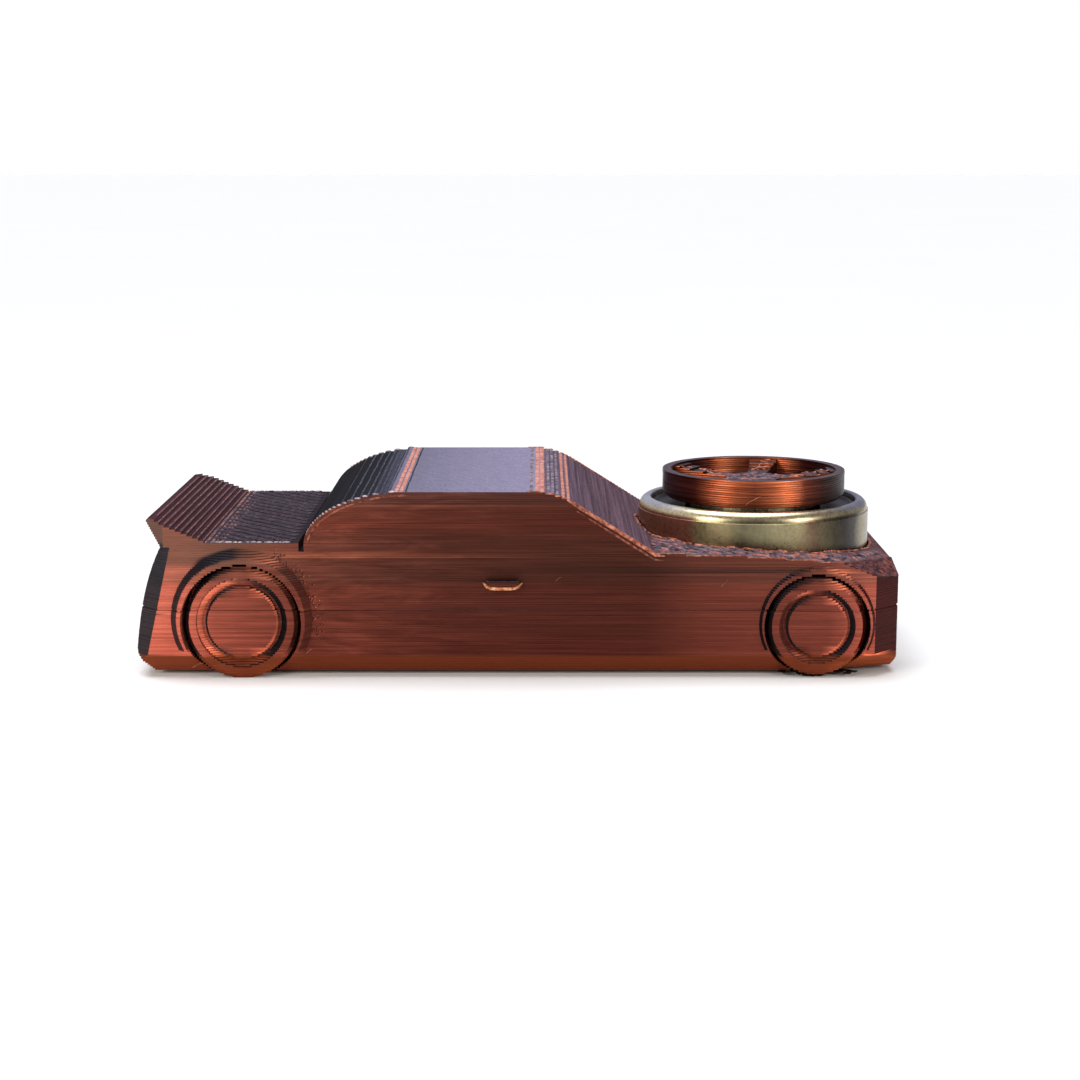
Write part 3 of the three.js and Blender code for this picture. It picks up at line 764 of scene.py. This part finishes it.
def bearing_ring():
    """The outer ring, with a rounded shoulder and the groove that the balls run in."""
    bottom = ring_low.z
    shoulder = [
        (RING_RADIUS, -1.0), (RING_RADIUS - 0.06 * MM, -0.96), (RING_RADIUS - 0.08 * MM, -0.8),
        (RING_RADIUS - 0.14 * MM, -0.58), (RING_RADIUS - 0.24 * MM, -0.38),
        (RING_RADIUS - 0.38 * MM, -0.21), (RING_RADIUS - 0.54 * MM, -0.09),
        (RING_RADIUS - 0.70 * MM, -0.02), (RING_RADIUS - 0.82 * MM, 0.0),
    ]
    inner = RING_RADIUS - 1.2 * MM
    upper = [(radius, RING_TOP + drop * MM) for radius, drop in shoulder]
    upper += [(inner + 0.12 * MM, RING_TOP), (inner, RING_TOP - 0.12 * MM), (inner, RING_TOP - MM)]
    race = RING_RADIUS - 2 * MM
    orbit_radius = 7.5 * MM
    groove_radius = 2.06 * MM
    groove = [
        (orbit_radius + groove_radius * math.cos(angle), RING_MIDDLE + groove_radius * math.sin(angle))
        for angle in (math.radians(step) for step in range(40, -41, -10))
    ]
    lower = [(radius, 2 * RING_MIDDLE - height) for radius, height in reversed(upper)]
    profile = upper + [(race, RING_TOP - MM)] + groove + [(race, bottom + MM)] + lower
    piece = turned("bearing_outer_ring_turned", profile, ring_steel)
    on_body(piece, "car")
    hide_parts("bearing_outer_ring")


def bearing_shield(node, flip):
    """A pressed shield with a rolled outer edge and a turned-down lip by the inner ring."""
    outline = [
        (9.66, -0.95), (9.7, -0.62), (9.6, -0.5), (9.45, -0.48), (9.3, -0.58), (9.2, -0.7),
        (7.3, -0.72), (7.1, -0.78), (6.9, -0.9), (6.6, -0.96), (6.52, -1.05), (6.62, -1.12),
        (6.95, -1.06), (7.2, -0.92), (9.1, -0.9),
    ]
    profile = [(radius * MM, RING_TOP + drop * MM) for radius, drop in outline]
    if flip:
        profile = [(radius, 2 * RING_MIDDLE - height) for radius, height in reversed(profile)]
    piece = turned(node + "_pressed", profile, shield_steel)
    on_body(piece, "car")
    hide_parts(node)


bearing_ring()
bearing_shield("bearing_shield_upper", False)
bearing_shield("bearing_shield_lower", True)

for node, material in (
    ("bearing_inner_ring", ring_steel),
    ("ball_cage_upper", shield_steel),
    ("ball_cage_lower", shield_steel),
    *((f"bearing_ball_{i}", ball_steel) for i in range(1, 8)),
):
    data = frame["nodes"][node].data
    data.materials.clear()
    data.materials.append(material)


# ---------------------------------------------------------------- lines of filament on the car

def laid_on(skin, points, largest_step):
    """Drops points onto a skin. False where one misses it, or where they aren't nearly level."""
    heights = [height_of(skin, point.x, point.y) for point in points]
    if None in heights or max(heights) - min(heights) > largest_step:
        return False
    for point, height in zip(points, heights):
        point.z = height
    return True


def deck_lines():
    """Diagonal lines over the flat deck between the spoiler and the rear window."""
    lines = []
    pitch = 1.7 * MM
    edge = HALF_WIDTH - 0.5 * MM
    offset = -HALF_WIDTH + DECK_FRONT_X
    while offset > SPOILER_START_X - HALF_WIDTH:
        offset -= pitch
    while offset < HALF_WIDTH + DECK_FRONT_X:
        left = max(SPOILER_START_X + 0.4 * MM, offset - edge)
        right = min(DECK_FRONT_X - 0.3 * MM, offset + edge)
        if right - left > 0.6 * MM:
            start = Vector((left, offset - left, DECK_Z))
            end = Vector((right, offset - right, DECK_Z))
            lines.append((start, end, spread(0.75, 1.0), spread(0.07, 0.12)))
        offset += pitch
    strands("deck_lines", lines, deck_strand)


def bonnet_lines():
    """Rough diagonal lines of filament over the bonnet."""
    lines = []
    row_pitch = 0.42
    along = Vector((1, -1, 0)).normalized()
    across = Vector((1, 1, 0)).normalized()
    for row in range(-44, 45):
        distance = -20 * MM
        while distance < 20 * MM:
            length = spread(0.5, 2.6)
            sideways = (row * row_pitch + random.uniform(-0.08, 0.08)) * MM
            start = BEARING_AXIS + across * sideways + along * distance
            end = start + along * length
            distance += length + spread(-0.1, 0.25)
            if min((point - BEARING_AXIS).length for point in (start, end)) < RING_RADIUS + 0.2 * MM:
                continue
            if max(abs(start.y), abs(end.y)) > HALF_WIDTH - 0.2 * MM:
                continue
            bevel_from = NOSE_BEVEL_X + NOSE_BEVEL_TAPER * (HALF_WIDTH - abs(end.y)) - 0.3 * MM
            front = min(bevel_from, body_high.x - 0.5 * MM)
            if start.x < WINDSCREEN_BASE_X - 0.3 * MM or end.x > front:
                continue
            if laid_on(car_skin, (start, end), 0.45 * MM):
                width = spread(0.34, 0.52)
                lines.append((start, end, width, spread(0.04, 0.2)))
    strands("bonnet_lines", lines, bonnet_strand)


def pocket_rim_lines():
    """Bright lines of filament round the edge of the bearing's pocket."""

    def round_pocket(turn, reach):
        return BEARING_AXIS + Euler((0, 0, math.radians(turn))).to_matrix() @ Vector((reach, 0, 0))

    rim = []
    lowest_bonnet = 9 * MM
    for turn in range(0, 360, 4):
        reach = RING_RADIUS + spread(0.22, 0.4)
        a = round_pocket(turn, reach)
        b = round_pocket(turn + random.uniform(3, 7), reach)
        if max(abs(a.y), abs(b.y)) > HALF_WIDTH - 0.3 * MM:
            continue
        if laid_on(car_skin, (a, b), 0.3 * MM) and min(a.z, b.z) >= lowest_bonnet:
            rim.append((a, b, spread(0.2, 0.34), spread(0.08, 0.2)))
    strands("pocket_rim_lines", rim, orange_strand)


def nose_skin():
    """The last lines over the sloped bevels at the front of the bonnet hide the layer steps."""
    bevels = [Vector((2.7, side * 1.4, 6.9)).normalized() for side, _ in SIDES]
    mesh = cad_mesh("car_body")
    others = [face for face in mesh.faces if max(face.normal.dot(bevel) for bevel in bevels) < 0.995]
    bmesh.ops.delete(mesh, geom=others, context="FACES")
    patches = [
        (face.normal.copy(), face.calc_area(), [vert.co.copy() for vert in face.verts])
        for face in mesh.faces
    ]
    grown = bmesh.ops.extrude_face_region(mesh, geom=mesh.faces[:])["geom"]
    for item in grown:
        if isinstance(item, bmesh.types.BMVert):
            item.co += Vector((0.035, 0.018 if item.co.y > 0 else -0.018, 0.09)) * MM
    bmesh.ops.recalc_face_normals(mesh, faces=mesh.faces[:])
    on_body(mesh_object("nose_skin", mesh, nose_silk), "car")

    lines = []
    area_of_each = 0.11 * MM * MM
    tip = body_high.x - 0.25 * MM
    corner = body_high.x + HALF_WIDTH - 2.5 * MM
    for normal, size, points in patches:
        for _ in range(int(size / area_of_each)):
            shares = [random.random() ** 0.5, random.random()]
            start = points[0].lerp(points[1].lerp(points[2], shares[1]), shares[0]) + normal * 0.09 * MM
            end = start + Vector((random.uniform(0.12, 0.4), 0, 0)) * MM
            end.z = start.z - (end.x - start.x) * normal.x / normal.z
            if end.x > tip or abs(end.y) + end.x > corner:
                continue
            width = spread(0.1, 0.18)
            lines.append((start, end, width, spread(0.03, 0.07), normal))
    strands("nose_stipple", lines, nose_silk)


def edge_steps(y, from_x, to_x):
    """Runs of constant height along the car's upper edge, as (start x, end x, height)."""
    runs = []
    step = 0.04 * MM
    x = from_x
    start, height = x, top_of_car(x, y)
    while x < to_x:
        x += step
        here = top_of_car(x, y)
        if abs(here - height) > 0.05 * MM:
            runs.append((start, x, height))
            start, height = x, here
    runs.append((start, x, height))
    return runs


def edge_beads():
    """Bright ends of layers along the edges of both windows, of the bonnet and of the deck."""
    for side, hand in SIDES:
        y = side * (HALF_WIDTH - 0.14 * MM)
        rear = []
        for start, end, height in edge_steps(y, WINDOW_BASE_X + 0.1 * MM, -9.2 * MM):
            end = max(end, start + 0.14 * MM)
            a = Vector((start, y, height))
            rear.append((a, Vector((min(end, start + 0.6 * MM), y, height)), 0.34 * MM, 0.13 * MM))
        strands(f"rear_window_beads_{hand}", rear, pale_strand)
        front = []
        for start, end, height in edge_steps(y, 0.8 * MM, WINDSCREEN_BASE_X):
            a = Vector((start - 0.05 * MM, y, height))
            front.append((a, Vector((end + 0.05 * MM, y, height)), 0.34 * MM, 0.11 * MM))
        strands(f"windscreen_beads_{hand}", front, orange_strand)
        bonnet = []
        x = WINDSCREEN_BASE_X
        while x < NOSE_BEVEL_X - 0.5 * MM:
            length = spread(0.4, 1.6)
            height = top_of_car(x + length / 2, y)
            a = Vector((x, y, height))
            bonnet.append((a, a + Vector((length, 0, 0)), spread(0.2, 0.34), 0.07 * MM))
            x += length + spread(0, 0.2)
        strands(f"bonnet_edge_{hand}", bonnet, orange_strand)
        deck = []
        x = SPOILER_START_X
        while x < DECK_FRONT_X - 0.8 * MM:
            length = spread(0.3, 0.8)
            a = Vector((x, y, DECK_Z))
            deck.append((a, a + Vector((length, 0, 0)), spread(0.18, 0.32), 0.09 * MM))
            x += length
        strands(f"deck_edge_{hand}", deck, pale_strand)


def window_bands():
    """The brighter filament below the edges of the rear window and of the windscreen."""
    drop = 0.3 * MM
    windscreen_edge = ((4.4, 16.3), (5.4, 15.68), (8.9, 13.5), (12.4, 11.27), (13.2, 11.2))
    for side, hand in SIDES:
        y = side * (HALF_WIDTH - 0.05 * MM)
        points = []
        for step in range(25):
            angle = math.radians(90 + 86 * step / 24)
            x = WINDOW_TOP_X + (WINDOW_DEPTH - drop) * math.cos(angle)
            z = ROOF_Z - WINDOW_RISE - drop + WINDOW_RISE * math.sin(angle)
            points.append(Vector((x, y, z)))
        thread(f"rear_window_band_{hand}", points, 0.11 * MM, rust_strand)
        points = [Vector((x * MM, y, z * MM)) for x, z in windscreen_edge]
        thread(f"windscreen_band_{hand}", points, 0.17 * MM, orange_strand)
        lower = [point + Vector((-0.12, 0, -0.4)) * MM for point in points[1:]]
        thread(f"windscreen_band_low_{hand}", lower, 0.13 * MM, rust_strand)


def spoiler_ridges():
    """A thin bright line of filament on the front edge of each layer of the spoiler's ramp."""
    lines = []
    for _, end, height in edge_steps(0, -33 * MM, SPOILER_START_X):
        y = -HALF_WIDTH + 0.6 * MM
        while y < HALF_WIDTH - MM:
            length = min(spread(2, 7), HALF_WIDTH - 0.6 * MM - y)
            a = Vector((end - 0.1 * MM, y, height))
            b = a + Vector((0, length, 0))
            if all(abs((top_of_car(p.x, p.y) or 0) - height) < 0.15 * MM for p in (a, b)):
                lines.append((a, b, 0.13 * MM, spread(0.03, 0.06)))
            y += length
    strands("spoiler_ridges", lines, pink_strand)


def cross_bars():
    """Lines across the car: at both ends of the roof, on the rear window and at the foot of the
    spoiler. Each row of the list is a name, a material, a width and the places of its lines."""
    bars = [
        ("rear_roof_bars", bright_strand, 0.4, (-10.85, -10.4)),
        ("rear_roof_gap", residue, 0.16, (-10.02,)),
        # Painted highlight: slate lines across the upper rear window.
        ("rear_window_highlight_lines", slate_strand, 0.2,
         (-11.45, -11.85, -12.3, -12.8, -13.4, -14.1, -14.9, -15.8)),
        ("front_roof_bars", bright_strand, 0.42, (1.75, 2.2, 4.05, 4.5)),
        ("front_roof_lines", lilac_strand, 0.3, (1.2, 2.75, 3.15, 3.55)),
        ("spoiler_foot_lines", bonnet_strand, 0.26, (-27.9,)),
        ("spoiler_foot_band", pink_strand, 0.36, (-27.45, -27.0, -26.6)),
    ]
    for name, material, width, places in bars:
        lines = []
        for x in places:
            y = -HALF_WIDTH + 0.15 * MM
            while y < HALF_WIDTH - 0.5 * MM:
                length = min(spread(1.5, 4), HALF_WIDTH - 0.15 * MM - y)
                place = (x + random.uniform(-0.02, 0.02)) * MM
                a = Vector((place, y, top_of_car(place, y + length / 2)))
                b = a + Vector((0, length, 0))
                lines.append((a, b, width * MM, spread(0.04, 0.07)))
                y += length
        strands(name, lines, material)


def cap_strokes():
    """Rough ends of filament on the cap's hub, and brighter ones on its spokes."""
    skin = skin_of(bpy.data.objects["spinner_cap_upper_print"])
    reach = CAP_RADIUS - 1.1 * MM
    hub_radius = 3.6 * MM
    lowest, highest = 15.6 * MM, 16.9 * MM
    hub, spokes = [], []
    for _ in range(420):
        turn = Euler((0, 0, random.uniform(0, 2 * math.pi))).to_matrix()
        start = BEARING_AXIS + turn @ Vector((reach * random.random() ** 0.6, 0, 0))
        end = start + Vector((random.uniform(0.3, 1.1), random.uniform(-0.5, 0.5), 0)) * MM
        lines = hub if (start - BEARING_AXIS).length < hub_radius else spokes
        if not laid_on(skin, (start, end), 0.25 * MM):
            continue
        if min(start.z, end.z) < lowest or max(start.z, end.z) > highest:
            continue
        lines.append((start, end, spread(0.2, 0.36), spread(0.04, 0.14)))
    strands("cap_hub_strokes", hub, bonnet_strand, "finger_caps")
    strands("cap_spoke_strokes", spokes, orange_strand, "finger_caps")


def handle_strands():
    """The bright lip under each door handle, and a dark strip of painted shadow above it."""
    half_length = 1.75 * MM
    for side, hand in SIDES:
        points = []
        for step in range(11):
            share = step / 10 * 2 - 1
            x = HANDLE_X + half_length * share
            z = HANDLE_Z - 0.38 * MM + 0.42 * MM * share ** 4
            y = side * (HALF_WIDTH + HANDLE_REACH * (1 - share ** 6))
            points.append(Vector((x, y, z)))
        thread(f"handle_strand_{hand}", points, 0.17 * MM, amber_strand)
        # A flat near-black strip of painted shadow above the handle.
        slot = Vector((HANDLE_X - 1.5 * MM, side * (HALF_WIDTH + 0.36 * MM), HANDLE_Z + 0.42 * MM))
        line = (slot, slot + Vector((3 * MM, 0, 0)), 0.6 * MM, 0.03 * MM)
        strands(f"handle_painted_shadow_{hand}", [line], residue)


def arch_pimples():
    """Rough blobs beside the rear wheel arches, where the print lifted a little."""
    arch_radius = 6.8
    for side, hand in SIDES:
        outward = Vector((0, side, 0))
        lines = []
        for _ in range(130):
            angle = math.radians(random.uniform(-10, 66))
            radius = random.gauss(arch_radius, 0.28) * MM
            x = REAR_AXLE_X + radius * math.cos(angle)
            z = REAR_AXLE_Z + radius * math.sin(angle)
            a = Vector((x, side * HALF_WIDTH, z))
            b = a + Vector((random.uniform(0.1, 0.3), 0, random.uniform(-0.1, 0.1))) * MM
            width = spread(0.12, 0.22)
            lines.append((a, b, width, spread(0.05, 0.1), outward))
        strands(f"arch_pimples_{hand}", lines, body_silk)


def support_residue():
    """Broken black support left on the underside by the front wheels, clear of the tyres."""
    reach = FRONT_RADIUS + 0.24 * MM
    underside = 0.38 * MM

    def below_tyre(x):
        across = min(abs(x - FRONT_AXLE_X), reach)
        return min(underside, FRONT_AXLE_Z - math.sqrt(reach ** 2 - across ** 2))

    for side, hand in SIDES:
        lines = []
        for _ in range(110):
            x = FRONT_AXLE_X + spread(-3.4, 3.3)
            y = side * random.uniform(HALF_WIDTH - 2.9 * MM, HALF_WIDTH - 0.35 * MM)
            onward = x + spread(0.3, 0.7)
            a = Vector((x, y, below_tyre(x)))
            b = Vector((onward, y + spread(-0.3, 0.3), below_tyre(onward)))
            width = spread(0.2, 0.42)
            height = min(spread(0.08, 0.18), a.z, b.z)
            lines.append((a, b, width, height, DOWN))
        strands(f"support_residue_{hand}", lines, residue)


def stray_hairs():
    """A hair of filament on the cap's rim, and four on the side of the car."""
    hair = []
    for step in range(9):
        share = step / 8
        angle = math.radians(-100 + 9.5 * share)
        radius = CAP_RADIUS + 0.05 * MM + 0.25 * MM * math.sin(math.pi * share)
        z = 14.75 * MM + 0.95 * MM * share ** 0.7
        hair.append(Vector((SPIN_X + radius * math.cos(angle), radius * math.sin(angle), z)))
    thread("cap_hair", hair, CAP_HAIR_RADIUS, orange_strand, "finger_caps")
    places = ((-29.5, 0.9, 1.0, 0.5), (-19.2, 2.2, 0.9, 0.6), (3.4, 8.9, 0.5, 0.4), (18.3, 8.4, 0.6, 0.6))
    for number, (x, z, reach, rise) in enumerate(places):
        start = Vector((x, -HALF_WIDTH / MM, z)) * MM
        middle = start + Vector((reach / 2, -0.12, rise * 0.7)) * MM
        end = start + Vector((reach, -0.02, rise)) * MM
        thread(f"body_hair_{number}", [start, middle, end], BODY_HAIR_RADIUS, orange_strand)


deck_lines()
bonnet_lines()
pocket_rim_lines()
nose_skin()
edge_beads()
window_bands()
spoiler_ridges()
cross_bars()
cap_strokes()
handle_strands()
arch_pimples()
support_residue()
stray_hairs()


# ---------------------------------------------------------------- floor, light and camera

def plain(name, colour, roughness):
    nodes = Nodes(name)
    shade = nodes.noise(0.01, 0.01, 0.01, detail=1)
    nodes.shader(
        Base_Color=nodes.mix(shade, tuple(c * 0.98 for c in colour), colour),
        Roughness=roughness,
    )
    return nodes.material


floor_mesh = bmesh.new()
bmesh.ops.create_grid(floor_mesh, x_segments=1, y_segments=1, size=6)
floor = mesh_object("floor", floor_mesh, plain("floor_paper", (0.92, 0.92, 0.92), 0.9))


def area_light(name, place, target, size, power, colour):
    light = bpy.data.lights.new(name, "AREA")
    light.shape = "RECTANGLE"
    light.size, light.size_y = size
    light.energy = power
    light.color = colour
    lamp = bpy.data.objects.new(name, light)
    lamp.location = place
    lamp.rotation_euler = (Vector(target) - Vector(place)).to_track_quat("-Z", "Y").to_euler()
    bpy.context.scene.collection.objects.link(lamp)


FRONT_SKY = (0.20, 0.19, 0.18, 1)
BACK_SKY = (0.33, 0.32, 0.39, 1)
WHITE = (1, 1, 1, 1)


def studio_world():
    """White behind the object, and a softer sky that is lighter at the back than at the front."""
    world = bpy.data.worlds.new("studio")
    world.use_nodes = True
    tree = world.node_tree
    direction = tree.nodes.new("ShaderNodeTexCoord").outputs["Generated"]
    split = tree.nodes.new("ShaderNodeSeparateXYZ")
    tree.links.new(direction, split.inputs[0])
    ramp = tree.nodes.new("ShaderNodeMapRange")
    ramp.inputs["From Min"].default_value = 0.35
    ramp.inputs["From Max"].default_value = 0.75
    tree.links.new(split.outputs["Y"], ramp.inputs["Value"])
    sky = tree.nodes.new("ShaderNodeMix")
    sky.data_type = "RGBA"
    sky.inputs[6].default_value = FRONT_SKY
    sky.inputs[7].default_value = BACK_SKY
    tree.links.new(ramp.outputs["Result"], sky.inputs[0])
    seen = tree.nodes.new("ShaderNodeMix")
    seen.data_type = "RGBA"
    seen.inputs[7].default_value = WHITE
    tree.links.new(tree.nodes.new("ShaderNodeLightPath").outputs["Is Camera Ray"], seen.inputs[0])
    tree.links.new(sky.outputs[2], seen.inputs[6])
    tree.links.new(seen.outputs[2], tree.nodes["Background"].inputs["Color"])
    tree.nodes["Background"].inputs["Strength"].default_value = 1.0
    return world


overhead = bpy.data.lights.new("overhead", "SUN")
overhead.energy = 3.0
overhead.angle = math.radians(55)
overhead.color = (0.94, 0.96, 1.0)
overhead_lamp = bpy.data.objects.new("overhead", overhead)
overhead_lamp.rotation_euler = Euler((math.radians(-8), math.radians(-6), 0))
bpy.context.scene.collection.objects.link(overhead_lamp)
area_light(
    "left_panel", place=(-0.17, -0.17, 0.09), target=(-0.02, 0, 0.005), size=(0.1, 0.12),
    power=0.35, colour=(1.0, 0.93, 0.86),
)
area_light(
    "right_panel", place=(0.17, -0.15, 0.08), target=(0.02, 0, 0.008), size=(0.08, 0.1),
    power=0.2, colour=(1.0, 0.94, 0.88),
)

bpy.context.scene.world = studio_world()
bpy.context.scene.view_settings.view_transform = "Standard"

# The camera stands to the car's right, a little above it, as in the photo.
CAMERA_TILT = 10.17

camera_data = bpy.data.cameras.new("camera")
camera_data.sensor_width = 36
camera_data.lens = 70.8
camera_data.clip_start = 0.01
camera = bpy.data.objects.new("camera", camera_data)
camera.location = (SPIN_X - 20.5 * MM, -202.2 * MM, RING_TOP + 31.9 * MM)
camera.rotation_euler = Euler((math.radians(90 - CAMERA_TILT), 0, 0))
bpy.context.scene.collection.objects.link(camera)
bpy.context.scene.camera = camera
